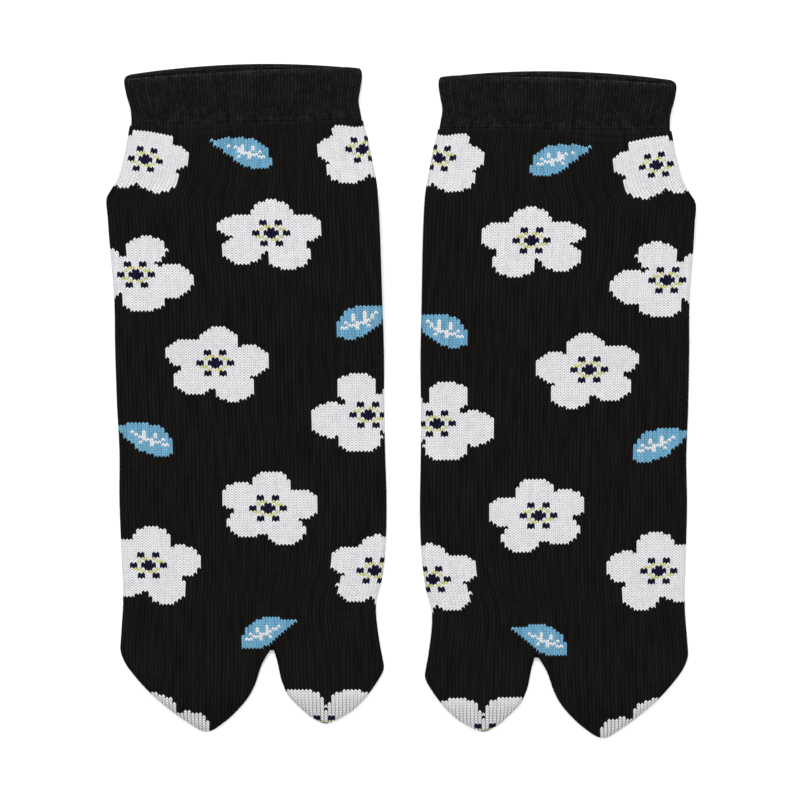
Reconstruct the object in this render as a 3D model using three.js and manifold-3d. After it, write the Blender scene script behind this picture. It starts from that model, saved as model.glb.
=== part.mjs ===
// A pair of split-toe (tabi) ankle socks, laid flat side by side with the insteps up and the big toes inward.
//
// Each sock is a knitted tube pressed flat, so it is two walls of cloth with a folded edge down each side.
// Its three pieces are the ribbed cuff, the foot with its two toe pockets, and the heel pouch, which is folded
// forward under the sole. The right sock is built about its own centre line, big toe at +X and cuff at +Y,
// and the left sock is its mirror image. Millimetres, +Z up, the socks resting on Z = 0.

import * as THREE from 'three';
import { mergeVertices } from 'three/addons/utils/BufferGeometryUtils.js';
import Module from 'manifold-3d';

// Cloth
const WALL = 1.3; // plain knit, one layer
const HOLLOW = 0.8; // the space left between the front and back walls
const THICK = 2 * WALL + HOLLOW; // foot as it lies
const CUFF_WALL = 1.6; // ribbed knit with elastic, one layer
const CUFF_THICK = 2 * CUFF_WALL + HOLLOW;
const SEAM_GAP = 0.3; // between neighbouring pieces

// Where the socks lie
const SOCK_APART = 106.85; // between the two centre lines
const LEFT_SOCK_DOWN = 2.45; // the left sock lies this much lower
const LEFT_SOCK_TURN = THREE.MathUtils.degToRad(0.8);

// Toe split
const CROTCH_Y = -85.5;
const POCKET_START_Y = -79.5; // the toe pockets begin here, inside the foot
const FOUR_TOE_TIP_Y = -115.2;
const BIG_TOE_TIP_Y = -112.4;

// Heel pouch and the rise of the foot over it
const HEEL_THICK = 2.2; // two layers pressed together
const HEEL_BACK_Y = 73;
const HEEL_FOLD_Y = 38;
const RISE = HEEL_THICK + SEAM_GAP;
const RISE_BACK = { low: 96, high: 75 };
const RISE_FRONT = { low: 4, high: 35 };

// Detail of the sections
const RISE_ROWS = [89, 82, 28, 20, 12]; // more sections on the two slopes over the heel pouch
const ARC_POINTS = 3; // on each quarter of a folded edge
const FOOT_POINTS = 3; // across each flat wall of the foot and the heel pouch
const CUFF_POINTS = 7; // across each wall of the cuff, whose ends are curved
const OVERRUN = 1.5; // how far a hollow runs out past an open end

// Foot: where the outer (little toe) edge and the inner (big toe) edge are at each section
const FOOT = [
  { y: 97.1, outer: -41.9, inner: 39.7 },
  { y: 92.5, outer: -42.7, inner: 41.2 },
  { y: 86.0, outer: -43.9, inner: 42.5 },
  { y: 78.0, outer: -46.0, inner: 44.1 },
  { y: 74.5, outer: -48.0, inner: 44.6 },
  { y: 71.0, outer: -49.9, inner: 44.9 },
  { y: 64.5, outer: -49.5, inner: 45.3 },
  { y: 55.0, outer: -48.8, inner: 45.7 },
  { y: 36.0, outer: -47.2, inner: 46.3 },
  { y: 18.0, outer: -47.0, inner: 46.9 },
  { y: 0.0, outer: -46.5, inner: 47.0 },
  { y: -17.0, outer: -45.6, inner: 47.3 },
  { y: -34.0, outer: -45.6, inner: 47.8 },
  { y: -50.0, outer: -45.0, inner: 47.5 },
  { y: -62.0, outer: -44.5, inner: 46.2 },
  { y: -70.0, outer: -44.3, inner: 44.2 },
  { y: -77.0, outer: -44.7, inner: 44.4 },
  { y: -86.0, outer: -45.3, inner: 45.7 },
];

// Toe pockets: their outside edge and the edge that faces the split
const FOUR_TOES = [
  { y: POCKET_START_Y, outer: -44.8, inner: 10.5 },
  { y: CROTCH_Y, outer: -45.3, inner: 7.8 },
  { y: -88.5, outer: -44.8, inner: 6.0 },
  { y: -92.5, outer: -42.8, inner: 3.9 },
  { y: -98.3, outer: -38.1, inner: 2.0 },
  { y: -103.5, outer: -32.9, inner: -0.7 },
  { y: -109.0, outer: -26.0, inner: -5.5 },
  { y: -112.5, outer: -20.9, inner: -9.6 },
  { y: FOUR_TOE_TIP_Y, outer: -16.6, inner: -13.4 },
];
const BIG_TOE = [
  { y: POCKET_START_Y, outer: 5.5, inner: 44.7 },
  { y: CROTCH_Y, outer: 8.2, inner: 45.6 },
  { y: -90.0, outer: 9.4, inner: 46.5 },
  { y: -93.5, outer: 10.2, inner: 46.8 },
  { y: -98.0, outer: 11.3, inner: 44.4 },
  { y: -102.8, outer: 13.7, inner: 40.9 },
  { y: -107.5, outer: 18.4, inner: 36.3 },
  { y: -110.6, outer: 22.2, inner: 31.4 },
  { y: BIG_TOE_TIP_Y, outer: 25.3, inner: 28.0 },
];

// Cuff: its edges, with along running from 0 at the seam to 1 at the rim
const CUFF = [
  { along: 0.0, outer: -41.8, inner: 39.6 },
  { along: 0.2, outer: -41.5, inner: 38.5 },
  { along: 0.38, outer: -42.0, inner: 38.1 },
  { along: 0.58, outer: -43.0, inner: 38.7 },
  { along: 0.8, outer: -43.8, inner: 39.3 },
  { along: 0.94, outer: -44.0, inner: 39.2 },
  { along: 1.0, outer: -43.7, inner: 38.7 },
];

// Heel pouch as it lies folded, from its open back edge to its round fold
const HEEL = [
  { y: HEEL_BACK_Y, outer: -46.0, inner: 42.5 },
  { y: 70.0, outer: -47.2, inner: 43.2 },
  { y: 60.0, outer: -47.0, inner: 43.4 },
  { y: 52.0, outer: -45.0, inner: 41.8 },
  { y: 45.0, outer: -39.0, inner: 36.2 },
  { y: 41.0, outer: -31.0, inner: 28.6 },
  { y: 39.0, outer: -22.0, inner: 20.0 },
  { y: HEEL_FOLD_Y, outer: -12.0, inner: 10.5 },
];

// The cuff's seam runs a little aslant, and its back rim stands higher than its front rim
const seamY = (x) => 97.4 + 0.02 * x;
const backRimY = (x) => 118.2 + 0.02 * x - 0.0016 * x * x;
const frontRimY = (x) => Math.min(115.7 + 0.05 * x - 0.0004 * x * x, backRimY(x) - 0.1);

const MATERIALS = {
  cuff: { color: 0x1d1c1a, roughness: 0.95, metalness: 0 },
  foot: { color: 0x171614, roughness: 0.92, metalness: 0 },
  heel: { color: 0x191816, roughness: 0.92, metalness: 0 },
};

const wasm = await Module();
wasm.setup();

// A table's column at one place, on a smooth curve through its rows
function smoothAt(table, key, column, place) {
  const order = Math.sign(table.at(-1)[key] - table[0][key]);
  const last = table.length - 2;
  const after = table.findIndex((row) => order * (row[key] - place) > 0);
  const i = THREE.MathUtils.clamp((after < 0 ? table.length : after) - 1, 0, last);
  const slope = (a, b) => (table[b][column] - table[a][column]) / (table[b][key] - table[a][key]);
  const slopeAt = (k) => slope(Math.max(k - 1, 0), Math.min(k + 1, last + 1));
  const span = table[i + 1][key] - table[i][key];
  const t = (place - table[i][key]) / span;
  const rest = 1 - t;
  const start = table[i][column] * (1 + 2 * t) + slopeAt(i) * span * t;
  const end = table[i + 1][column] * (3 - 2 * t) - slopeAt(i + 1) * span * rest;
  return start * rest * rest + end * t * t;
}

// How high the underside lies at y, going over the heel pouch
function riseAt(y) {
  const back = THREE.MathUtils.smoothstep(-y, -RISE_BACK.low, -RISE_BACK.high);
  const front = THREE.MathUtils.smoothstep(y, RISE_FRONT.low, RISE_FRONT.high);
  return RISE * Math.min(back, front);
}

// One flat section: the front wall's points from the outer to the inner edge, then the back wall's points
// from the inner to the outer edge. Its two sides are round folds.
function section({ outer, inner, low, high, yAt, flatPoints = FOOT_POINTS }) {
  const half = (high - low) / 2;
  const middle = (high + low) / 2;
  const radius = Math.min(half, (inner - outer) / 2.2);
  const front = [];
  for (let k = 0; k < ARC_POINTS; k += 1) {
    const angle = ((k + 0.25) / ARC_POINTS) * (Math.PI / 2);
    front.push({ x: outer + radius * (1 - Math.cos(angle)), up: Math.sin(angle) });
  }
  for (let k = 0; k < flatPoints; k += 1) {
    const across = k / (flatPoints - 1);
    front.push({ x: THREE.MathUtils.lerp(outer + radius, inner - radius, across), up: 1 });
  }
  for (let k = ARC_POINTS - 1; k >= 0; k -= 1) {
    const angle = ((k + 0.25) / ARC_POINTS) * (Math.PI / 2);
    front.push({ x: inner - radius * (1 - Math.cos(angle)), up: Math.sin(angle) });
  }
  const back = front.toReversed().map(({ x, up }) => ({ x, up: -up }));
  return [...front, ...back].map(({ x, up }) => new THREE.Vector3(x, yAt(x, up), middle + half * up));
}

// A closed solid through a row of sections, which run from +Y to -Y
function loft(sections) {
  const around = sections[0].length;
  const triangles = [];
  const quad = (a, b, c, d) => triangles.push(a, b, c, a, c, d);
  for (let row = 0; row < sections.length - 1; row += 1) {
    for (let k = 0; k < around; k += 1) {
      const next = (k + 1) % around;
      const here = row * around;
      const below = here + around;
      quad(here + k, below + k, below + next, here + next);
    }
  }
  const lastRow = (sections.length - 1) * around;
  for (let k = 0; k < around / 2 - 1; k += 1) {
    const across = around - 1 - k;
    quad(k, k + 1, across - 1, across);
    quad(lastRow + k, lastRow + across, lastRow + across - 1, lastRow + k + 1);
  }
  const geometry = new THREE.BufferGeometry().setFromPoints(sections.flat());
  geometry.setIndex(triangles);
  return geometry;
}

function toSolid(geometry) {
  const bare = geometry.clone();
  bare.deleteAttribute('normal');
  bare.deleteAttribute('uv');
  const merged = mergeVertices(bare, 1e-4);
  return new wasm.Manifold(
    new wasm.Mesh({
      numProp: 3,
      vertProperties: new Float32Array(merged.attributes.position.array),
      triVerts: new Uint32Array(merged.index.array),
    }),
  );
}

function toGeometry(solid) {
  const mesh = solid.getMesh();
  const geometry = new THREE.BufferGeometry();
  geometry.setAttribute('position', new THREE.BufferAttribute(new Float32Array(mesh.vertProperties), 3));
  geometry.setIndex(new THREE.BufferAttribute(new Uint32Array(mesh.triVerts), 1));
  geometry.computeVertexNormals();
  return geometry;
}

// Half the height of a round closed end, a distance back from where it ends
function roundEnd(fromEnd, half) {
  const reach = Math.max(half - fromEnd, 0);
  return Math.sqrt(half * half - reach * reach);
}

// The foot's wall is made in two goes: inset 0 gives its outside, and inset WALL gives its hollow.
function footSection(table, y, endY, inset) {
  const half = THICK / 2 - inset;
  const lowered = half - roundEnd(y - (endY + inset), half);
  const nearSeam = THREE.MathUtils.smoothstep(y, RISE_BACK.high, FOOT[0].y);
  const low = riseAt(y) + inset + lowered;
  return section({
    outer: smoothAt(table, 'y', 'outer', y) + inset,
    inner: smoothAt(table, 'y', 'inner', y) - inset,
    low,
    high: low + 2 * (half - lowered),
    yAt: (x) => y + (seamY(x) - seamY(0)) * nearSeam,
  });
}

function footRows(table, endY, inset, extraRows) {
  const half = THICK / 2 - inset;
  const end = endY + inset;
  const ends = [end + half, end + half * 0.45, end + half * 0.15, end + half * 0.02];
  const kept = [...table.map((row) => row.y), ...extraRows].filter((y) => y > end + half * 1.3);
  return [...kept, ...ends].sort((a, b) => b - a).map((y) => footSection(table, y, endY, inset));
}

function footShell(inset) {
  const openEnd = seamY(0) - SEAM_GAP + (inset > 0 ? OVERRUN : 0);
  const table = [{ ...FOOT[0], y: openEnd }, ...FOOT.slice(1)];
  const bodyEnd = CROTCH_Y + 0.5;
  const body = footRows(table, bodyEnd, inset, RISE_ROWS);
  const fourToes = footRows(FOUR_TOES, FOUR_TOE_TIP_Y, inset, []);
  const bigToe = footRows(BIG_TOE, BIG_TOE_TIP_Y, inset, []);
  return toSolid(loft(body)).add(toSolid(loft(fourToes))).add(toSolid(loft(bigToe)));
}

function foot() {
  return toGeometry(footShell(0).subtract(footShell(WALL)));
}

function cuffShell(inset) {
  const past = inset > 0 ? OVERRUN : 0;
  const rows = CUFF.toReversed().map(({ along, outer, inner }) => {
    const runsOut = along === 1 ? past : along === 0 ? -past : 0;
    const yAt = (x, up) => {
      const rim = THREE.MathUtils.lerp(backRimY(x), frontRimY(x), (up + 1) / 2);
      return THREE.MathUtils.lerp(seamY(x), rim, along) + runsOut;
    };
    const sides = { outer: outer + inset, inner: inner - inset, flatPoints: CUFF_POINTS };
    return section({ ...sides, low: inset, high: CUFF_THICK - inset, yAt });
  });
  return toSolid(loft(rows));
}

function cuff() {
  return toGeometry(cuffShell(0).subtract(cuffShell(CUFF_WALL)));
}

function heel() {
  const rows = HEEL.map(({ y, outer, inner }) => {
    const lowered = HEEL_THICK / 2 - roundEnd(y - HEEL_FOLD_Y + 0.2, HEEL_THICK / 2);
    return section({ outer, inner, low: lowered, high: HEEL_THICK - lowered, yAt: () => y });
  });
  return toGeometry(toSolid(loft(rows)));
}

// Mirrors a piece across X = 0 with its faces still pointing out
function mirrored(geometry) {
  const copy = geometry.clone().scale(-1, 1, 1);
  const { array } = copy.index;
  for (let k = 0; k < array.length; k += 3) {
    [array[k], array[k + 1]] = [array[k + 1], array[k]];
  }
  copy.computeVertexNormals();
  return copy;
}

const PIECES = { cuff: cuff(), foot: foot(), heel: heel() };

function sock(side, turnOver) {
  const group = new THREE.Group();
  for (const [piece, geometry] of Object.entries(PIECES)) {
    const material = new THREE.MeshStandardMaterial(MATERIALS[piece]);
    const mesh = new THREE.Mesh(turnOver ? mirrored(geometry) : geometry, material);
    mesh.name = `${side}_sock_${piece}`;
    group.add(mesh);
  }
  return group;
}

const pair = new THREE.Group();

const rightSock = sock('right', false);
rightSock.position.set(-SOCK_APART / 2, 0, 0);
pair.add(rightSock);

const leftSock = sock('left', true);
leftSock.position.set(SOCK_APART / 2, -LEFT_SOCK_DOWN, 0);
leftSock.rotation.z = LEFT_SOCK_TURN;
pair.add(leftSock);

// The origin is under the middle of the pair
pair.updateMatrixWorld(true);
const centre = new THREE.Box3().setFromObject(pair, true).getCenter(new THREE.Vector3());
pair.position.set(-centre.x, -centre.y, 0);

export default pair;
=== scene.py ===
import math

import bmesh
import bpy
import numpy as np
from mathutils import Matrix, Vector


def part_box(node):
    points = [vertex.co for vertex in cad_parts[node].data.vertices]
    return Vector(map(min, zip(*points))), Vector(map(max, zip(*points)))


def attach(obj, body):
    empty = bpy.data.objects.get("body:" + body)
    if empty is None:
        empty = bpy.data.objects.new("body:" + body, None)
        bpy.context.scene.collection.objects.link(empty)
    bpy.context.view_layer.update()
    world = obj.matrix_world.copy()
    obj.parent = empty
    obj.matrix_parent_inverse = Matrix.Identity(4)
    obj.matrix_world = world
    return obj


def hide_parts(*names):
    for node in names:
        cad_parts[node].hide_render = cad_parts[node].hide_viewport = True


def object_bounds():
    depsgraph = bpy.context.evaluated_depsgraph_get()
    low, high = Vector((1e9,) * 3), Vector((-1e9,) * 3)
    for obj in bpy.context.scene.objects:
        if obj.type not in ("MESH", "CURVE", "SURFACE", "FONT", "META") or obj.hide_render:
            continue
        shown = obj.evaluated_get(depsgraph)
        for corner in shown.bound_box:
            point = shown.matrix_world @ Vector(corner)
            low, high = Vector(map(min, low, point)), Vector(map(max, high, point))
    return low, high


# A pair of knitted split-toe socks lying flat, instep up. The right sock is made about its own centre line
# in millimetres, big toe at +X and cuff at +Y, and the left sock is its mirror image.

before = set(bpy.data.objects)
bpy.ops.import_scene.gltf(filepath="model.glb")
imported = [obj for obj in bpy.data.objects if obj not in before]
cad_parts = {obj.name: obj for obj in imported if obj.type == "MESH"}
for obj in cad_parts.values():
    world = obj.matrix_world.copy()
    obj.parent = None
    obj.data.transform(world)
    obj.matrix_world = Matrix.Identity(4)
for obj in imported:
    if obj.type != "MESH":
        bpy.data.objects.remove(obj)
cad_low, cad_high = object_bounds()

MM = 0.001

# ---------------------------------------------------------------- sizes of the sock, in millimetres

THICK = 3.4  # the foot as it lies, two walls and the space between them
HOLLOW = 0.8  # the space between the foot's two walls
CUFF_THICK = 4.0
CUFF_WALL = 1.6
CUFF_TALL = 19.5  # from the seam to the rim at the folded sides
CUFF_COURSE = 0.83
TO_SEAM = 20.0  # the cuff's knit from rim to seam, before it is fitted to the rim's curve
RIB_VALLEY = 0.45  # depth between two ribs, outside
RIB_BACK = 0.25  # and how far a rib stands out inside
HEEL_THICK = 2.2
HEEL_HOLLOW = 0.3
HEEL_CORNER = (-48.0, 73.0)  # where its first wale and first course lie
HEEL_SNUG = 0.995  # its wales lie this much closer than the foot's
RISE = HEEL_THICK + 0.3  # how far the heel pouch lifts the foot
RISE_BACK = (96.0, 75.0)  # where the lift begins and is whole, behind the pouch
RISE_FRONT = (4.0, 35.0)  # and in front of it
SEAM_Y = 97.4  # the seam of foot and cuff on the centre line
SEAM_SLOPE = 0.02  # and how much it climbs towards the big toe's side
LEFT_TURN = math.radians(0.8)  # how far the left sock lies turned

WALES = 72  # columns of stitches across one face
COURSE = 0.905  # height of one row of stitches
WALE = 1.31  # width of one column
POINT = 0.72  # how far a stitch's middle stands above its sides, in courses
GROOVE = 0.17  # depth of the valley between two columns

# Foot: y, outer edge, inner edge
FOOT = [
    (-86.0, -45.3, 45.7),
    (-77.0, -44.7, 44.4),
    (-70.0, -44.3, 44.2),
    (-62.0, -44.5, 46.2),
    (-50.0, -45.0, 47.5),
    (-34.0, -45.6, 47.8),
    (-17.0, -45.6, 47.3),
    (0.0, -46.5, 47.0),
    (18.0, -47.0, 46.9),
    (36.0, -47.2, 46.3),
    (55.0, -48.8, 45.7),
    (64.5, -49.5, 45.3),
    (71.0, -49.9, 44.9),
    (74.5, -48.0, 44.6),
    (78.0, -46.0, 44.1),
    (86.0, -43.9, 42.5),
    (92.5, -42.7, 41.2),
    (97.1, -41.9, 39.7),
]

# The two toe pockets' edges, from the little toe's side round to the split, and on round the big toe
FOUR_TOES = [
    (-45.3, -86.0), (-44.8, -88.5), (-42.8, -92.5), (-38.1, -98.3), (-32.9, -103.5), (-26.0, -109.0),
    (-20.9, -112.5), (-17.4, -114.7), (-15.0, -115.2), (-12.7, -114.6), (-9.6, -112.5), (-5.5, -109.0),
    (-0.7, -103.5), (2.0, -98.3), (3.9, -92.5), (6.0, -88.5), (8.0, -85.5),
]
BIG_TOE = [
    (8.0, -85.5), (9.4, -90.0), (10.2, -93.5), (11.3, -98.0), (13.7, -102.8), (18.4, -107.5),
    (22.2, -110.6), (26.7, -112.4), (31.4, -110.6), (36.3, -107.5), (40.9, -102.8), (44.4, -98.0),
    (46.8, -93.5), (46.5, -90.0), (45.7, -86.0),
]
CROTCH = np.array((8.0, -85.5))

# Cuff: how far along from the seam to the rim, outer edge, inner edge
CUFF = [
    (0.0, -41.8, 39.6),
    (0.2, -41.5, 38.5),
    (0.38, -42.0, 38.1),
    (0.58, -43.0, 38.7),
    (0.8, -43.8, 39.3),
    (0.94, -44.0, 39.2),
    (1.0, -43.7, 38.7),
]

# Heel pouch, folded forward under the sole: y, outer edge, inner edge
HEEL = [
    (38.0, -12.0, 10.5),
    (39.0, -22.0, 20.0),
    (41.0, -31.0, 28.6),
    (45.0, -39.0, 36.2),
    (52.0, -45.0, 41.8),
    (60.0, -47.0, 43.4),
    (70.0, -47.2, 43.2),
    (73.0, -46.0, 42.5),
]

FRONT, BACK = 0, 1  # the wall that faces up and the one that lies down
CUT_EDGE = 4  # the narrow face that closes a wall where it is cut off
OUTSIDE, INSIDE = 0, 1  # the two faces of a wall


# ---------------------------------------------------------------- shapes of the flat sock

def ease(low, high, value):
    """0 at low, 1 at high, with a smooth start and end. Low may be the greater of the two."""
    t = np.clip((np.asarray(value, float) - low) / (high - low), 0, 1)
    return t * t * (3 - 2 * t)


def table_curve(rows, column, place):
    """A smooth curve through one column of a table, at each place."""
    at = np.array([row[0] for row in rows])
    value = np.array([row[column] for row in rows])
    slope = np.empty_like(value)
    slope[1:-1] = (value[2:] - value[:-2]) / (at[2:] - at[:-2])
    slope[0] = (value[1] - value[0]) / (at[1] - at[0])
    slope[-1] = (value[-1] - value[-2]) / (at[-1] - at[-2])
    place = np.clip(np.asarray(place, float), at[0], at[-1])
    i = np.clip(np.searchsorted(at, place, side="right") - 1, 0, len(at) - 2)
    span = at[i + 1] - at[i]
    t = (place - at[i]) / span
    rest = 1 - t
    start = value[i] * (1 + 2 * t) + slope[i] * span * t
    end = value[i + 1] * (3 - 2 * t) - slope[i + 1] * span * rest
    return start * rest**2 + end * t**2


def curve_through(points, steps=8):
    """Points on a smooth curve through the given ones."""
    p = np.array(points, float)
    p = np.vstack([2 * p[0] - p[1], p, 2 * p[-1] - p[-2]])
    t = np.linspace(0, 1, steps, endpoint=False)[:, None]
    found = []
    for a, b, c, d in zip(p, p[1:], p[2:], p[3:]):
        found.append(b + 0.5 * t * (c - a + t * (2 * a - 5 * b + 4 * c - d + t * (3 * (b - c) + d - a))))
    return np.vstack([*found, p[-2:-1]])


def side_curves(rows, above):
    """The outer edge going down and the inner edge going up, run on past the open end."""
    y = np.arange(rows[0][0], rows[-1][0], 1.0)
    y = np.append(y, rows[-1][0])
    outer, inner = (np.column_stack([table_curve(rows, k, y), y]) for k in (1, 2))
    lift = np.array((0.0, above))
    return np.vstack([outer[-1] + lift, outer[::-1]]), np.vstack([inner, inner[-1] + lift])


def foot_outline():
    down, up = side_curves(FOOT, 8)
    return np.vstack([down, curve_through(FOUR_TOES)[1:-1], curve_through(BIG_TOE)[:-1], up])


def heel_outline():
    down, up = side_curves(HEEL, 8)
    return np.vstack([down, up])


def cuff_outline():
    """The cuff's sides, straightened from the share of its height to y, and run on past both ends."""
    rows = [(SEAM_Y + CUFF_TALL * along, outer, inner) for along, outer, inner in CUFF]
    down, up = side_curves(rows, 8)
    under = np.array((0.0, -8.0))
    return np.vstack([down, down[-1] + under, up[0] + under, up])


def nearest_on(outline, points):
    """For each point: how far inside the outline it is, the nearest place on it, and the way inwards."""
    start, along = outline[:-1], np.diff(outline, axis=0)
    length = np.hypot(*along.T)
    start, along, length = start[length > 1e-6], along[length > 1e-6], length[length > 1e-6]
    inside_way = np.column_stack([-along[:, 1], along[:, 0]]) / length[:, None]
    depth, place, way = np.empty(len(points)), np.empty((len(points), 2)), np.empty((len(points), 2))
    for first in range(0, len(points), 4000):
        p = points[first : first + 4000, None]
        t = np.clip(((p - start) * along).sum(2) / length**2, 0, 1)
        q = start + t[:, :, None] * along
        apart = np.hypot(*np.moveaxis(p - q, 2, 0))
        k = apart.argmin(1)
        row = np.arange(len(k))
        q, apart = q[row, k], apart[row, k]
        ends = start + along
        crosses = (start[:, 1] > p[:, :, 1]) != (ends[:, 1] > p[:, :, 1])
        rise = np.where(along[:, 1] == 0, 1e-9, along[:, 1])
        meets = start[:, 0] + (p[:, :, 1] - start[:, 1]) * along[:, 0] / rise
        sign = np.where((crosses & (p[:, :, 0] < meets)).sum(1) % 2 == 1, 1.0, -1.0)
        far = apart > 0.02
        direct = (p[:, 0] - q) * sign[:, None] / np.maximum(apart, 1e-9)[:, None]
        rows = slice(first, first + 4000)
        depth[rows], place[rows] = apart * sign, q
        way[rows] = np.where(far[:, None], direct, inside_way[k])
    return depth, place, way


def rise_at(y):
    """How high the foot's underside lies, going over the heel pouch."""
    return RISE * np.minimum(1 - ease(RISE_BACK[1], RISE_BACK[0], y), ease(*RISE_FRONT, y))


class Foot:
    """The foot as stitches: u counts wales from the outer edge, v counts courses down from the cuff."""

    wales, courses = WALES, 236
    thick, hollow = THICK, HOLLOW
    outline = foot_outline()
    extra = (math.pi / 2 - 1) * THICK / 2  # cloth that goes round each folded edge
    coarse_wales, coarse_courses = 2, 4

    @staticmethod
    def flat(u, v):
        """Where a stitch lies, before its cloth goes round the edge. Past either edge u runs straight on."""
        level = SEAM_Y - v * COURSE
        outer = table_curve(FOOT, 1, level) - Foot.extra
        inner = table_curve(FOOT, 2, level) + Foot.extra
        x = outer + (inner - outer) * u / WALES
        # The split draws the wales together, and the toes spread them
        from_split = x - CROTCH[0]
        drawn = 0.18 * np.exp(-((from_split / 13) ** 2)) * ease(-50, -75, level) * ease(-112, -88, level)
        x = x - from_split * drawn
        # The courses sag below the cuff, most on the outer half
        sag = 3.9 * np.exp(-(((x + 20) / 13) ** 2)) + 0.8 * np.exp(-(((x - 37) / 3) ** 2))
        sag = sag * ease(0, 2.5, v) * (1 - ease(6, 36, v))
        slope = SEAM_SLOPE * x * (1 - ease(10, 40, v))
        return x, level + slope - sag

    @staticmethod
    def low(x, y):
        return rise_at(y)

    @staticmethod
    def folded(points):
        """How much cloth goes round the edge here: less where the two pockets meet."""
        return Foot.extra * ease(0, 12, np.hypot(*(points - CROTCH).T))

    @staticmethod
    def relief(x, y):
        """Soft unevenness of the upper wall: puckers under the cuff and a dimple by the big toe."""
        below = SEAM_Y - y
        puckers = 0.30 * np.sin(x / 2.1 + 1.3 * np.sin(x / 9)) * ease(0, 4, below) * (1 - ease(6, 17, below))
        dimple = -0.5 * np.exp(-(((x - 38) / 5) ** 2) - ((y + 84) / 9) ** 2)
        slack = ease(0, 6, below) * 0.25 * np.sin(x / 17 + 0.6) * np.sin(y / 31 + 1.1)
        slack = slack + ease(0, 6, below) * 0.12 * np.sin(x / 8 - y / 23)
        return puckers + dimple + slack


class Heel:
    wales, courses = WALES, 39
    thick, hollow = HEEL_THICK, HEEL_HOLLOW
    outline = heel_outline()
    extra = 0.3
    coarse_wales, coarse_courses = 2, 3

    @staticmethod
    def flat(u, v):
        return HEEL_CORNER[0] + u * WALE * HEEL_SNUG, HEEL_CORNER[1] - v * COURSE

    @staticmethod
    def low(x, y):
        return np.zeros_like(y)

    @staticmethod
    def folded(points):
        return np.full(len(points), Heel.extra)

    @staticmethod
    def relief(x, y):
        return np.zeros_like(x)


def add_layer(bm, form, face):
    """A flat grid of stitches, trimmed to the outline, and its copy for the other wall. The wales' middles
    stand higher than their sides, so each course is a row of points."""
    fine = face == OUTSIDE
    across = form.wales * 2 if fine else form.wales // form.coarse_wales
    along = form.courses if fine else round(form.courses / form.coarse_courses)
    grid = bmesh.ops.create_grid(bm, x_segments=across, y_segments=along, size=0.5)["verts"]
    place = np.array([v.co for v in grid])
    u = (place[:, 0] + 0.5) * form.wales
    v = (0.5 - place[:, 1]) * form.courses
    x, y = form.flat(u, v)
    middle = (np.abs(u % 1 - 0.5) < 0.01) & fine
    y = y + middle * POINT * COURSE * ease(0, 2, v)
    points = np.column_stack([x, y])
    depth, edge, way = nearest_on(form.outline, points)
    cloth = form.folded(points)
    s = depth + cloth

    stitch = bm.verts.layers.float_vector["stitch"]
    for k, vert in enumerate(grid):
        vert.index = k
        vert[stitch] = (u[k], max(v[k], 0.45), 0)  # the first course is half hidden in the seam
    faces = {f for vert in grid for f in vert.link_faces}
    away = [f for f in faces if sum(s[vert.index] for vert in f.verts) < 0]
    bmesh.ops.delete(bm, geom=away, context="FACES")
    k = np.array([place for place, vert in enumerate(grid) if vert.is_valid])
    kept = [grid[place] for place in k]
    at_end = v[k] < 1e-6
    on_edge = np.array([vert.is_boundary for vert in kept]) & ~at_end
    on_edge |= at_end & ((u[k] < 1e-6) | (u[k] > form.wales - 1e-6))

    # Round the edge
    radius = form.thick / 2
    tube = radius if fine else form.hollow / 2
    angle = np.clip(s[k] / (radius + cloth[k]), 0, 1) * (math.pi / 2)
    angle[on_edge] = 0
    valley = GROOVE * np.abs(np.cos(math.pi * u[k])) ** 2 * fine * np.sin(angle)
    bent = angle < math.pi / 2 - 1e-6
    reach = radius - (tube - valley) * np.cos(angle)
    xy = np.where(bent[:, None], edge[k] + way[k] * reach[:, None], points[k])
    height = (tube - valley) * np.sin(angle)
    middle_z = form.low(*xy.T) + radius
    relief = form.relief(*xy.T) * np.sin(angle)

    wall = bm.faces.layers.int["wall"]
    for j, vert in enumerate(kept):
        vert.co = (*xy[j], middle_z[j] + height[j] + relief[j])
    front = list({f for vert in kept for f in vert.link_faces})
    for f in front:
        f[wall] = FRONT + 2 * face
    copied = bmesh.ops.duplicate(bm, geom=[*kept, *{e for f in front for e in f.edges}, *front])
    to_copy = copied["vert_map"]
    for j, vert in enumerate(kept):
        to_copy[vert].co.z = middle_z[j] - height[j]
    back = [f for f in copied["geom"] if isinstance(f, bmesh.types.BMFace)]
    for f in back:
        f[wall] = BACK + 2 * face
    bmesh.ops.reverse_faces(bm, faces=back if face == OUTSIDE else front)
    rim = [vert for vert, end in zip(kept, on_edge) if end]
    rim += [to_copy[vert] for vert in rim]
    bmesh.ops.remove_doubles(bm, verts=rim, dist=1e-4)


def new_bmesh():
    bm = bmesh.new()
    bm.verts.layers.float_vector.new("stitch")
    bm.faces.layers.int.new("wall")
    return bm


def bag(form):
    """A flattened tube of knit with a closed far end: an outer and an inner face joined at the open end."""
    bm = new_bmesh()
    add_layer(bm, form, OUTSIDE)
    add_layer(bm, form, INSIDE)
    open_end = [e for e in bm.edges if e.is_boundary]
    joined = bmesh.ops.bridge_loops(bm, edges=open_end)["faces"]
    wall = bm.faces.layers.int["wall"]
    for f in joined:
        f[wall] = CUT_EDGE
    return bm


# ---------------------------------------------------------------- cuff

def rim_y(x, side):
    back = 118.2 + 0.02 * x - 0.0016 * x**2
    front = np.minimum(115.7 + 0.05 * x - 0.0004 * x**2, back - 0.1)
    return back if side == BACK else front


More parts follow.
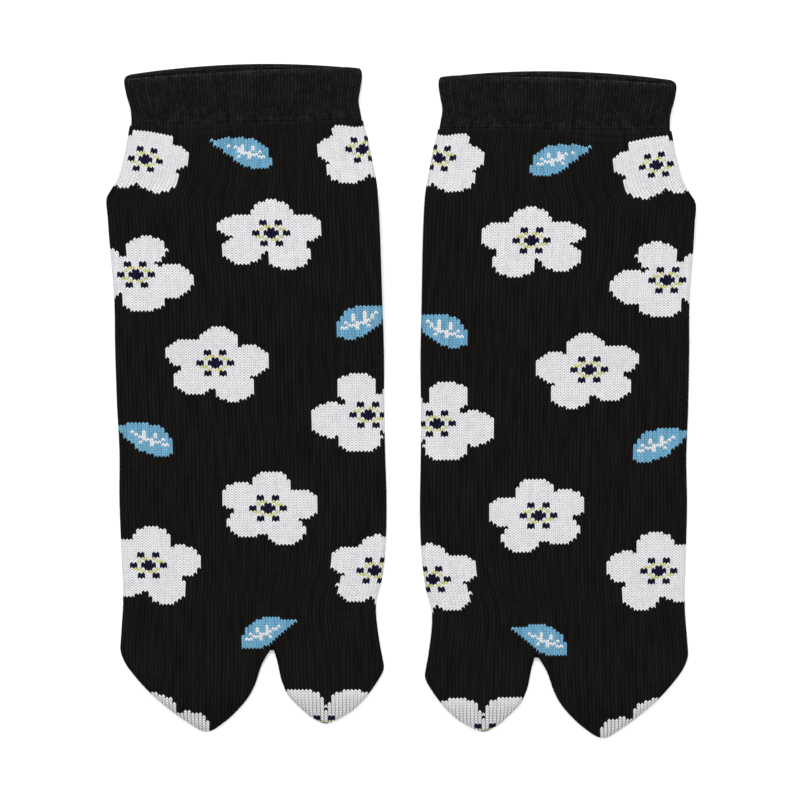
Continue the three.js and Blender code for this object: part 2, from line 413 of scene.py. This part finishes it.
def cuff():
    """The ribbed cuff: each wall is a grid with its rows drawn together where the knit rolls over the rim."""
    bm = new_bmesh()
    stitch, wall = bm.verts.layers.float_vector["stitch"], bm.faces.layers.int["wall"]
    per_rib = 4
    outline = cuff_outline()
    radius = CUFF_THICK / 2
    extra = (math.pi / 2 - 1) * radius
    roll = CUFF_WALL / 2  # radius of the roll over the rim
    ends = []
    for side in (FRONT, BACK):
        for face in (OUTSIDE, INSIDE):
            rim_rows = [roll * (1 - math.cos(a)) for a in np.linspace(0, math.pi / 2, 5)]
            spaced = 1.0 if face == OUTSIDE else 3.0
            rows = [*rim_rows, *np.arange(roll + 0.45, 19.0, CUFF_COURSE * spaced), TO_SEAM]
            across = WALES * per_rib
            grid = bmesh.ops.create_grid(bm, x_segments=across, y_segments=len(rows) - 1, size=0.5)["verts"]
            place = np.array([v.co for v in grid])
            u = (place[:, 0] + 0.5) * WALES
            row = np.rint((0.5 - place[:, 1]) * (len(rows) - 1)).astype(int)
            down = np.array(rows)[row]
            # Across first, on the cuff's own outline, then down from the rim to the seam
            share = np.clip(1 - down / TO_SEAM, 0, 1)
            level = SEAM_Y + CUFF_TALL * share
            outer = table_curve(CUFF, 1, share) - extra
            inner = table_curve(CUFF, 2, share) + extra
            x = outer + (inner - outer) * u / WALES
            depth, edge, way = nearest_on(outline, np.column_stack([x, level]))
            angle = np.clip((depth + extra) / (radius + extra), 0, 1) * (math.pi / 2)
            at_side = (u < 1e-6) | (u > WALES - 1e-6)
            angle[at_side] = 0
            rolled = roll - np.sqrt(np.maximum(roll**2 - np.maximum(roll - down, 0) ** 2, 0))
            ridge = 0.5 + 0.5 * np.cos(2 * math.pi * (u - 0.5))
            if face == OUTSIDE:
                rib = (1 - ridge) * ease(0, 1.2, down) * (1 - 0.6 * ease(17, 19.5, down))
                tube = radius - rolled - RIB_VALLEY * rib
            else:
                tube = radius - CUFF_WALL + rolled + RIB_BACK * ridge * ease(0, 1.2, down)
            thinner = (CUFF_THICK - THICK) / 2 * ease(16, 19.5, down)  # down to the foot it is joined to
            tube = tube - thinner
            reach = radius - tube * np.cos(angle)
            x = np.where(angle < math.pi / 2 - 1e-6, edge[:, 0] + way[:, 0] * reach, x)
            # The two walls' heights meet at the folded edges
            between = (rim_y(x, FRONT) + rim_y(x, BACK)) / 2
            rim = rim_y(x, side) + (between - rim_y(x, side)) * (1 - np.sin(angle))
            tall = rim - (SEAM_Y + SEAM_SLOPE * x)
            if face == OUTSIDE:
                middle = (np.abs(u % 1 - 0.5) < 0.2) * (1 - 2 * np.abs(u % 1 - 0.5))
                point = 0.45 * ease(1, 3, down) * (1 - ease(18, 19.5, down)) * middle
            else:
                point = 0
            flat_down = np.minimum(down, roll) + (down - roll).clip(0) * (tall - roll) / (TO_SEAM - roll)
            y = rim - flat_down + point
            up = 1 if side == FRONT else -1
            z = radius - thinner + up * tube * np.sin(angle)
            co = np.column_stack([x, y, z])
            for k, vert in enumerate(grid):
                vert.co = co[k]
                vert[stitch] = (u[k], min(down[k] / CUFF_COURSE, 23.5), 0)
            faces = {f for vert in grid for f in vert.link_faces}
            for f in faces:
                f[wall] = side + 2 * face
            if (side == BACK) != (face == INSIDE):
                bmesh.ops.reverse_faces(bm, faces=list(faces))
            ends.append(grid)
    every = [vert for grid in ends for vert in grid if vert.is_boundary]
    bmesh.ops.remove_doubles(bm, verts=every, dist=2e-3)
    seam = [e for e in bm.edges if e.is_boundary]
    joined = bmesh.ops.bridge_loops(bm, edges=seam)["faces"]
    for f in joined:
        f[wall] = CUT_EDGE
    return bm


# ---------------------------------------------------------------- the pattern, charted in stitches

BLACK, WHITE, BLUE, NAVY, YELLOW = range(5)

# Each kind of flower: five petals, as across, up, half their width and half their height in stitches from
# the flower's middle
KINDS = [
    [
        (0.6, 8.5, 5.4, 5.6), (8.6, 1.2, 5.6, 5.9), (4.7, -8.7, 5.5, 5.8), (-5.8, -6.1, 5.6, 5.6),
        (-7.8, 4.1, 5.5, 5.5),
    ],
    [
        (0.4, 7.3, 5.5, 5.5), (8.0, 1.9, 5.6, 5.6), (4.8, -8.2, 5.8, 5.8), (-7.4, -6.4, 5.5, 5.5),
        (-8.1, 2.7, 6.0, 4.2),
    ],
    [
        (3.0, 9.7, 5.5, 5.3), (9.8, -2.2, 5.6, 6.4), (2.2, -8.6, 6.0, 5.5), (-9.5, -4.8, 5.5, 5.0),
        (-8.5, 5.5, 5.2, 5.5),
    ],
    [
        (2.0, 8.0, 5.8, 5.6), (6.9, 0.3, 5.3, 5.1), (3.7, -7.4, 5.5, 5.5), (-5.6, -5.6, 5.3, 5.4),
        (-6.2, 5.0, 5.0, 5.0),
    ],
    [
        (-6.6, 8.6, 6.7, 6.8), (7.0, 8.4, 6.2, 6.8), (9.0, -4.0, 5.5, 5.5), (0.5, -9.5, 5.5, 5.5),
        (-9.0, -3.0, 5.5, 5.5),
    ],
]
# One small chart for the stamens of every flower: a navy middle, yellow round it and six navy tips
STAMENS = [
    "...nn..nn...",
    "...nn..nn...",
    "....yy.y....",
    "...y.nn.yy..",
    ".nn.nnnn.nn.",
    ".nn.nnnn.nn.",
    "..yy.nn.y...",
    "....y.yy....",
    "...nn..nn...",
    "...nn..nn...",
]
# Flowers on the instep: where their middles lie on the flat sock in millimetres, the kind, 1 or -1 where it
# is the mirror image, and how much of its full width and height it has where the knit is drawn in
FLOWERS = [
    (-36.8, 84.7, 3, 1, 1, 1), (39.2, 87.8, 3, -1, 1, 1), (7.4, 58.8, 1, 1, 1, 1),
    (-39.9, 44.1, 2, 1, 1, 1), (-11.6, 13.3, 0, 1, 1, 1), (41.3, -4.2, 2, -1, 1, 1.05),
    (6.6, -36.8, 0, 1, 0.95, 1), (-35.0, -56.7, 0, 1, 0.97, 1.05), (44.1, -59.2, 0, 1, 0.92, 1),
    (-34.6, -114.5, 0, 1, 1.12, 1), (26.5, -114.0, 4, 1, 1, 1),
]
# The same motifs go on round the sole: here the place is as seen from above, through the instep
SOLE_FLOWERS = [
    (14.0, 14.0, 1, -1, 1, 1), (-20.0, -8.0, 0, -1, 1, 1), (20.0, -38.0, 2, 1, 1, 1),
    (-14.0, -62.0, 1, 1, 1, 1), (24.0, -89.0, 0, 1, 0.95, 1),
]
# Leaves: middle in millimetres, 1 where the tip points outwards and -1 inwards, width and height
LEAVES = [
    (-3.5, 87.2, 1, 1, 1), (41.4, 28.2, -1, 1, 1.08), (-37.9, -12.8, 1, 1, 1.06),
    (7.0, -80.5, -1, 0.86, 1.02),
]
SOLE_LEAVES = [
    (-19.0, 22.0, 1, 1, 1), (18.0, -11.5, -1, 1, 1), (-20.0, -35.0, 1, 1, 1), (18.0, -64.0, -1, 1, 1),
]
VEIN = [
    "w..w......",
    ".w.w..w...",
    "..ww..w...",
    "...www..w.",
    "..w..www..",
    ".....w..ww",
]


FLOWER_MIDDLE = 7.4  # radius of the white behind the stamens, in stitches
LEAF_TIP = (-8.8, 4.5)  # from the leaf's middle, in stitches, as are the rest
LEAF_LONG = 19.8
LEAF_TILT = math.radians(-30.3)
LEAF_BOW = 1.95  # how far its midline bends
LEAF_HALF = 4.928  # half its greatest width


def draw(chart, across, up, rows, yarns):
    """Knit a small chart into the big one, about its own middle."""
    high, wide = len(rows), len(rows[0])
    for j, row in enumerate(rows):
        for i, mark in enumerate(row):
            here = (np.floor(across + wide / 2) == i) & (np.floor(high / 2 - up) == j)
            if mark in yarns:
                chart[here] = yarns[mark]


def flower(chart, across, up, stitches, kind):
    for x, y, half_width, half_height in KINDS[kind]:
        chart[np.hypot((across - x) / half_width, (up - y) / half_height) < 1] = WHITE
    chart[np.hypot(across, up) < FLOWER_MIDDLE] = WHITE
    draw(chart, *stitches, STAMENS, {"n": NAVY, "y": YELLOW})


def leaf(chart, across, up, stitches):
    """A drop-shaped leaf, round at the lower inner end and drawn to a tip at the upper outer one."""
    c, s = math.cos(LEAF_TILT), math.sin(LEAF_TILT)
    from_tip = across - LEAF_TIP[0], up - LEAF_TIP[1]
    along = (from_tip[0] * c + from_tip[1] * s) / LEAF_LONG
    inside = np.clip(along, 0, 1)
    off = from_tip[1] * c - from_tip[0] * s - LEAF_BOW * np.sin(math.pi * inside**0.9)
    half = LEAF_HALF * np.maximum(np.sin(math.pi * inside**1.5), 0) ** 0.74
    chart[(along > 0) & (along < 1) & (np.abs(off) < half)] = BLUE
    draw(chart, across - 2.0, up - 0.2, VEIN, {"w": WHITE})


def foot_chart():
    """The yarn of each stitch, all round the foot: u runs across the instep and back across the sole."""
    round_wales = 2 * WALES
    u, v = np.meshgrid(np.arange(round_wales) + 0.5, np.arange(Foot.courses) + 0.5, indexing="ij")
    chart = np.full(u.shape, BLACK)

    def about(x, y, mirror, width, height, sole):
        """How far each stitch is from a place, going round the nearer edge: across and up in the widths and
        heights of a slack stitch, and the same in whole stitches."""
        at_v = (SEAM_Y - y) / COURSE
        outer, inner = Foot.flat(0, at_v)[0], Foot.flat(WALES, at_v)[0]
        at_u = (x - outer) / (inner - outer) * WALES
        at_v += (Foot.flat(at_u, at_v)[1] - y) / COURSE
        if sole:
            at_u = round_wales - at_u
            x = Foot.flat(at_u, at_v)[0]
        near_u = at_u + (u - at_u + WALES) % round_wales - WALES
        here_x, here_y = Foot.flat(near_u, v)
        across = (here_x - x) / WALE / width * mirror
        up = (here_y + COURSE * POINT / 2 - y) / COURSE / height
        return across, up, ((near_u - at_u) * mirror, at_v + POINT / 2 - v)

    for sole, flowers, leaves in ((False, FLOWERS, LEAVES), (True, SOLE_FLOWERS, SOLE_LEAVES)):
        for x, y, kind, mirror, width, height in flowers:
            flower(chart, *about(x, y, mirror, width, height, sole), kind)
        for x, y, mirror, width, height in leaves:
            leaf(chart, *about(x, y, mirror, width, height, sole))
    chart[:, :2] = BLACK
    return chart


# ---------------------------------------------------------------- yarns and finishes

def linear(code):
    """An sRGB hex value as linear red, green and blue."""
    srgb = np.array([int(code[k : k + 2], 16) for k in (1, 3, 5)]) / 255
    return np.where(srgb <= 0.04045, srgb / 12.92, ((srgb + 0.055) / 1.055) ** 2.4)


YARNS = np.array([linear(c) for c in ("#141312", "#c6c6c8", "#6294b0", "#18162b", "#b6b479")])


def add(tree, kind, given=None, **settings):
    """A node with its settings, each input given as a value or linked to another node's output."""
    node = tree.nodes.new(kind)
    for key, value in settings.items():
        setattr(node, key, value)
    for key, value in (given or {}).items():
        if isinstance(value, bpy.types.NodeSocket):
            tree.links.new(value, node.inputs[key])
        else:
            node.inputs[key].default_value = value
    return node.outputs


def material(name):
    made = bpy.data.materials.new(name)
    made.use_nodes = True
    made.node_tree.nodes.clear()
    return made, made.node_tree


MATH, RANGE = "ShaderNodeMath", "ShaderNodeMapRange"


def knit_material(name, valley, rung_shade, patchy, bump):
    """Each stitch is two slanting legs, with an eye between them and a valley on each side. Painted shade
    darkens the eyes and the valleys between wales, strongly in deep colours and faintly in light ones, whose
    eyes also show the black yarn behind them; it darkens the rungs where legs end and the gaps of loops
    stretched open in every yarn alike. The yarn's colour comes with the mesh, and its alpha says how far the
    loops are stretched open. One unit of the stitch map is one wale, 1.31 mm, across and one course, 0.9 mm,
    up."""
    made, tree = material(name)
    uv = add(tree, "ShaderNodeUVMap", uv_map="stitches")[0]
    parts = add(tree, "ShaderNodeSeparateXYZ", {0: uv})
    # Across is 0 in the middle of a wale and 1 between two; leg is 0 in the middle of a leg and 1 at its ends
    wale = add(tree, MATH, {0: parts[0], 1: 0.5}, operation="PINGPONG")[0]
    across = add(tree, RANGE, {"Value": wale, "From Min": 0.5, "From Max": 0.0})[0]
    course = add(tree, MATH, {0: parts[1], 1: 0.5}, operation="PINGPONG")[0]
    leg = add(tree, RANGE, {"Value": course, "From Min": 0.5, "From Max": 0.0})[0]
    # Where the yarn lies low: at the ends of a leg, in the eye, between wales, and in the gap where legs part
    leg_end = add(tree, MATH, {0: leg, 1: 2.5}, operation="POWER")[0]
    inner = add(tree, MATH, {0: 1.0, 1: across}, operation="SUBTRACT")[0]
    inner = add(tree, MATH, {0: inner, 1: 2.0}, operation="POWER")[0]
    eye = add(tree, MATH, {0: inner, 1: leg_end}, operation="MULTIPLY")[0]
    between = add(tree, MATH, {0: across, 1: 4.0}, operation="POWER")[0]
    gap = add(tree, MATH, {0: between, 1: leg_end}, operation="MULTIPLY")[0]
    # Fibres lie along the legs. A real one is 0.02 mm thick: these are 0.1 mm by 0.4 mm, so that they show
    along_leg = add(tree, "ShaderNodeMapping", {0: uv, "Scale": (3.0, 9.0, 1.0)})[0]
    fibre = add(tree, "ShaderNodeTexNoise", {"Vector": along_leg, "Scale": 1.0, "Detail": 3.0})[0]
    low = add(tree, MATH, {0: between, 1: 0.5}, operation="MULTIPLY")[0]
    low = add(tree, MATH, {0: leg_end, 1: 0.6, 2: low}, operation="MULTIPLY_ADD")[0]
    low = add(tree, MATH, {0: eye, 1: 0.5, 2: low}, operation="MULTIPLY_ADD")[0]
    height = add(tree, MATH, {0: fibre, 1: 0.35}, operation="MULTIPLY")[0]
    height = add(tree, MATH, {0: height, 1: low}, operation="SUBTRACT")[0]
    normal = add(tree, "ShaderNodeBump", {"Height": height, "Strength": bump, "Distance": 0.0002})[0]
    # How much painted shade each of those gets in this yarn; in light yarn the eyes also show the black yarn
    # behind
    yarn = add(tree, "ShaderNodeVertexColor", layer_name="yarn")
    tone = add(tree, "ShaderNodeRGBToBW", {0: yarn[0]})[0]
    dark_to_light = {"Value": tone, "From Min": 0.02, "From Max": 0.6}
    holes = add(tree, MATH, {0: eye, 1: gap}, operation="MAXIMUM")[0]
    deep = add(tree, RANGE, {**dark_to_light, "To Min": 0.97, "To Max": 0.88})[0]
    holes = add(tree, MATH, {0: holes, 1: deep}, operation="MULTIPLY")[0]
    deep = add(tree, RANGE, {**dark_to_light, "To Min": valley, "To Max": 0.06})[0]
    painted_line_shade = add(tree, MATH, {0: between, 1: deep}, operation="MULTIPLY")[0]
    painted_rung_shade = add(tree, MATH, {0: leg_end, 1: rung_shade}, operation="MULTIPLY")[0]
    painted_line_shade = add(tree, MATH, {0: painted_line_shade, 1: painted_rung_shade}, operation="MAXIMUM")[0]
    # The gaps of loops stretched open at the toe tips: painted shade, alike in every yarn
    opened_gap_shade = add(tree, MATH, {0: between, 1: leg_end}, operation="ADD")[0]
    opened_gap_shade = add(tree, MATH, {0: opened_gap_shade, 1: yarn[1]}, operation="MULTIPLY")[0]
    opened_gap_shade = add(tree, MATH, {0: opened_gap_shade, 1: 0.72}, operation="MULTIPLY")[0]
    shade_and_back_yarn = add(tree, MATH, {0: holes, 1: painted_line_shade}, operation="MAXIMUM")[0]
    shade_and_back_yarn = add(tree, MATH, {0: shade_and_back_yarn, 1: opened_gap_shade}, operation="MAXIMUM")[0]
    # The yarn's tone is uneven, wale by wale, and painted sheen follows its fibres
    down_wale = add(tree, "ShaderNodeMapping", {0: uv, "Scale": (0.7, 0.06, 1.0)})[0]
    uneven = add(tree, "ShaderNodeTexNoise", {"Vector": down_wale, "Scale": 1.0, "Detail": 2.0})[0]
    ends = {"From Min": 0.3, "From Max": 0.7}
    uneven = add(tree, RANGE, {"Value": uneven, **ends, "To Min": -0.5, "To Max": 0.5})[0]
    streaky = add(tree, RANGE, {**dark_to_light, "To Min": patchy, "To Max": 0.05})[0]
    streaks = add(tree, MATH, {0: uneven, 1: streaky, 2: 1.0}, operation="MULTIPLY_ADD")[0]
    painted_fibre_sheen = add(tree, RANGE, {"Value": fibre, **ends, "To Min": 0.8, "To Max": 1.16})[0]
    light = add(tree, MATH, {0: 1.0, 1: shade_and_back_yarn}, operation="SUBTRACT")[0]
    light = add(tree, MATH, {0: light, 1: painted_fibre_sheen}, operation="MULTIPLY")[0]
    light = add(tree, MATH, {0: light, 1: streaks}, operation="MULTIPLY")[0]
    colour = add(tree, "ShaderNodeVectorMath", {0: yarn[0], 3: light}, operation="SCALE")[0]
    finish = {"Base Color": colour, "Normal": normal, "Roughness": 0.85, "Specular IOR Level": 0.02}
    shader = add(tree, "ShaderNodeBsdfPrincipled", finish)[0]
    add(tree, "ShaderNodeOutputMaterial", {"Surface": shader})
    return made


# ---------------------------------------------------------------- finishing a piece

def finish_piece(bm, name, finish, yarns_at):
    """The bmesh as a mesh, with its stitch map and the colour of the yarn of each stitch."""
    wall = bm.faces.layers.int["wall"]
    stitch = bm.verts.layers.float_vector["stitch"]
    uv = bm.loops.layers.uv.new("stitches")
    colour = bm.loops.layers.float_color.new("yarn")
    faces = list(bm.faces)
    centres = np.empty((len(faces), 2))
    for k, f in enumerate(faces):
        f.smooth = f[wall] != CUT_EDGE
        back = f[wall] % 2 == BACK
        spots = [loop.vert[stitch] for loop in f.loops]
        us = [2 * WALES - s.x if back else s.x for s in spots]
        for loop, u, s in zip(f.loops, us, spots):
            loop[uv].uv = (u, s.y)
        centres[k] = (sum(us) / len(us), sum(s.y for s in spots) / len(spots))
    yarns = yarns_at(centres, np.array([f[wall] for f in faces]))
    for f, rgba in zip(faces, yarns):
        for loop in f.loops:
            loop[colour] = rgba
    mesh = bpy.data.meshes.new(name)
    bm.to_mesh(mesh)
    bm.free()
    mesh.materials.append(finish)
    return mesh


CHART = foot_chart()
rng = np.random.default_rng(11)
TAKE_UP = rng.uniform(0.94, 1.04, CHART.shape)  # each stitch takes up its yarn a little differently


def stitch_at(centres):
    i = np.clip(centres[:, 0].astype(int), 0, 2 * WALES - 1)
    j = np.clip(centres[:, 1].astype(int), 0, Foot.courses - 1)
    return i, j


def foot_yarns(centres, walls):
    i, j = stitch_at(centres)
    yarn = np.where(walls < 2, CHART[i, j], BLACK)
    stretched = ease(-96, -108, SEAM_Y - centres[:, 1] * COURSE)
    seam_brightening = 1 + 0.25 * (1 - ease(0.5, 2.0, centres[:, 1]))  # the first courses under the cuff are lightened: a painted highlight against the shade at the seam
    return np.column_stack([YARNS[yarn] * (TAKE_UP[i, j] * seam_brightening)[:, None], stretched])


def plain_yarns(centres, walls):
    return np.column_stack([YARNS[BLACK] * TAKE_UP[stitch_at(centres)][:, None], np.zeros(len(centres))])


def cuff_yarns(centres, walls):
    """The cuff is lighter than the foot's black all over, and lighter still near the rim: a painted highlight
    where the knit rolls over it.
    """
    tone_and_rim_highlight = 1.65 + 1.1 * (1 - ease(0.5, 3.0, centres[:, 1]))
    tone_and_rim_highlight = tone_and_rim_highlight * TAKE_UP[stitch_at(centres)] ** 8  # the ribs' loops are far less even than the foot's
    return plain_yarns(centres, walls) * np.column_stack([tone_and_rim_highlight, tone_and_rim_highlight, tone_and_rim_highlight, np.ones(len(walls))])


# Knitted in several yarns: rows of small points in matt, soft-edged colour, with no shine at all
PATTERNED = knit_material("Cotton blend yarn, plain knit with a knitted-in pattern", 0.94, 0.0, 0.6, 0.9)
# Rib knit with elastic drawn in: deep upright ribs crossed by fine rungs of painted shade, with a painted
# highlight over the rim
RIBBED = knit_material("Cotton blend yarn with elastic, rib knit", 0.95, 0.8, 0.4, 0.7)
# Knitted in one black yarn: the eye gets only the faint lines of its wales, with painted shade in their
# valleys
PLAIN = knit_material("Cotton blend yarn, plain knit", 0.94, 0.0, 0.6, 0.9)

MESHES = {
    "cuff": finish_piece(cuff(), "cuff", RIBBED, cuff_yarns),
    "foot": finish_piece(bag(Foot), "foot", PATTERNED, foot_yarns),
    "heel": finish_piece(bag(Heel), "heel", PLAIN, plain_yarns),
}


def placed(side):
    """The move from the right sock's own place, in millimetres, to where this sock lies."""
    scale = Matrix.Diagonal((MM, MM, MM, 1))
    turn = scale
    if side == "left":
        turn = Matrix.Rotation(LEFT_TURN, 4, "Z") @ scale @ Matrix.Diagonal((-1, 1, 1, 1))
    edge = [turn @ Vector((x, y, 0)) for x, y in Foot.outline[1:-1]]
    low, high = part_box(f"{side}_sock_foot")
    across = (low.x + high.x) / 2 - (min(p.x for p in edge) + max(p.x for p in edge)) / 2
    down = low.y - min(p.y for p in edge)
    return Matrix.Translation((across, down, 0)) @ turn


for side in ("right", "left"):
    move = placed(side)
    for piece, mesh in MESHES.items():
        made = mesh.copy()
        made.transform(move)
        if side == "left":
            made.flip_normals()
        node = f"{side}_sock_{piece}"
        obj = bpy.data.objects.new(f"{side}_{piece}_knit", made)
        bpy.context.scene.collection.objects.link(obj)
        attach(obj, "root")
        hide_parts(node)

# ---------------------------------------------------------------- floor, light and camera

middle = (cad_low + cad_high) / 2

bpy.ops.mesh.primitive_plane_add(size=3, location=(0, 0, -0.0002))  # a hair below the cloth
floor = bpy.context.object
floor.name = "floor"
# Matt calendered paper: an even white with no shine, so that only soft shadows show on it
paper, paper_tree = material("White paper sweep")
paper_finish = {"Base Color": (*linear("#fbfbfb"), 1), "Roughness": 0.9, "Specular IOR Level": 0.1}
paper_shader = add(paper_tree, "ShaderNodeBsdfPrincipled", paper_finish)[0]
add(paper_tree, "ShaderNodeOutputMaterial", {"Surface": paper_shader})
floor.data.materials.append(paper)

world = bpy.data.worlds.new("studio")
world.use_nodes = True
world.node_tree.nodes["Background"].inputs["Color"].default_value = (1, 1, 1, 1)
world.node_tree.nodes["Background"].inputs["Strength"].default_value = 1.24
bpy.context.scene.world = world


def softbox(name, place, size, power):
    lamp = bpy.data.lights.new(name, "AREA")
    lamp.shape = "SQUARE"
    lamp.size = size
    lamp.energy = power
    obj = bpy.data.objects.new(name, lamp)
    obj.location = place
    obj.rotation_euler = (Vector(place) - middle).to_track_quat("Z", "Y").to_euler()
    bpy.context.scene.collection.objects.link(obj)


softbox("key softbox", (-0.22, 0.72, 1.05), 0.7, 8)
softbox("fill softbox", (0.6, -0.4, 1.1), 0.9, 2)

FIELD = 0.280  # what the view takes in at the cloth, in metres
HEIGHT = 1.2
OFF_CENTRE = (-0.0004, 0.0003)  # the camera hangs this far from the pair's middle

camera = bpy.data.objects.new("camera", bpy.data.cameras.new("camera"))
camera.data.sensor_width = 36
camera.data.lens = camera.data.sensor_width * HEIGHT / FIELD
camera.data.clip_end = 10
camera.location = (middle.x + OFF_CENTRE[0], middle.y + OFF_CENTRE[1], HEIGHT)
bpy.context.scene.collection.objects.link(camera)
bpy.context.scene.camera = camera
bpy.context.scene.view_settings.view_transform = "Standard"
